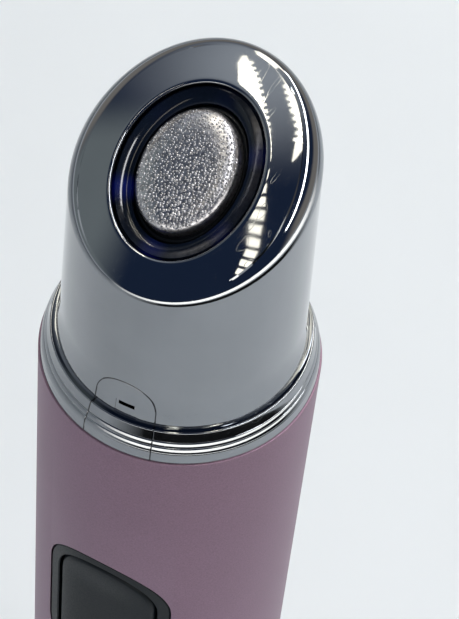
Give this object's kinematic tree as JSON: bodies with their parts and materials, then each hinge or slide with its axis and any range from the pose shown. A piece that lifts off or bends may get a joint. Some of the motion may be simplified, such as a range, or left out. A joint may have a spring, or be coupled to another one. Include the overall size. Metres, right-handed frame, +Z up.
{
  "type": "facial toning wand",
  "caption": "Round handheld facial wand: slanted mirror head with a textured contact plate in a smoked light ring, metallic handle with a long black push button.",
  "frame": {"origin": "middle of the flat base", "axes": "+Z up along the handle, -Y towards the button and the low side of the slanted face, +X to the right seen from the button's side"},
  "size_m": [0.026, 0.026, 0.1465],
  "materials": {
    "mauve_metal": "satin mauve metallic",
    "chrome": "mirror plated",
    "smoked_lens": "clear smoked",
    "plate_steel": "polished, fine pebbled on the contact plate",
    "black_plastic": "moulded",
    "button_black": "satin",
    "inner_plastic": "moulded",
    "seal_rubber": "matte",
    "board_laminate": "solder mask",
    "emitter": "encapsulant",
    "nickel": "plated",
    "brass": "turned",
    "cell_wrap": "shrink wrap",
    "red_lead": "insulation",
    "black_lead": "insulation"
  },
  "bodies": {
    "wand": {"handle_tube": "mauve_metal", "end_cap": "chrome", "base_seal": "seal_rubber", "head_shell": "chrome", "head_seal": "seal_rubber", "light_ring": "smoked_lens", "electrode_cup": "black_plastic", "electrode": "plate_steel", "contact_spring": "nickel", "led_board": "board_laminate", "led_1": "emitter", "led_2": "emitter", "led_3": "emitter", "led_4": "emitter", "led_5": "emitter", "led_6": "emitter", "head_carrier": "inner_plastic", "vibration_motor": "plate_steel", "motor_sleeve": "seal_rubber", "chassis": "inner_plastic", "board_screw_1": "nickel", "board_screw_2": "nickel", "head_screw_1": "nickel", "head_screw_2": "nickel", "main_board": "board_laminate", "battery_cell": "cell_wrap", "battery_tab_bottom": "nickel", "battery_tab_top": "nickel", "controller_chip": "black_plastic", "storage_capacitor": "brass", "step_up_coil": "black_plastic", "handle_contact": "nickel", "button_surround": "button_black", "switch_body": "plate_steel", "charging_socket": "nickel", "socket_tongue": "black_plastic", "charge_board": "board_laminate", "electrode_lead": "red_lead", "light_lead": "black_lead", "motor_lead_red": "red_lead", "motor_lead_black": "black_lead", "charge_lead_red": "red_lead", "charge_lead_black": "black_lead"},
    "button": {"power_button": "button_black", "switch_plunger": "black_plastic"},
    "rotor": {"motor_shaft": "nickel", "eccentric_weight": "brass"}
  },
  "joints": [
    {"name": "button_press", "type": "slide", "parent": "wand", "child": "button", "axis": [0, 1, 0], "range_m": [0, 0.0005], "stiffness_N_per_m": 3000},
    {"name": "motor_spin", "type": "hinge", "parent": "wand", "child": "rotor", "pos_m": [0, 0.002, 0.13], "axis": [0, 0, 1], "continuous": true}
  ]
}
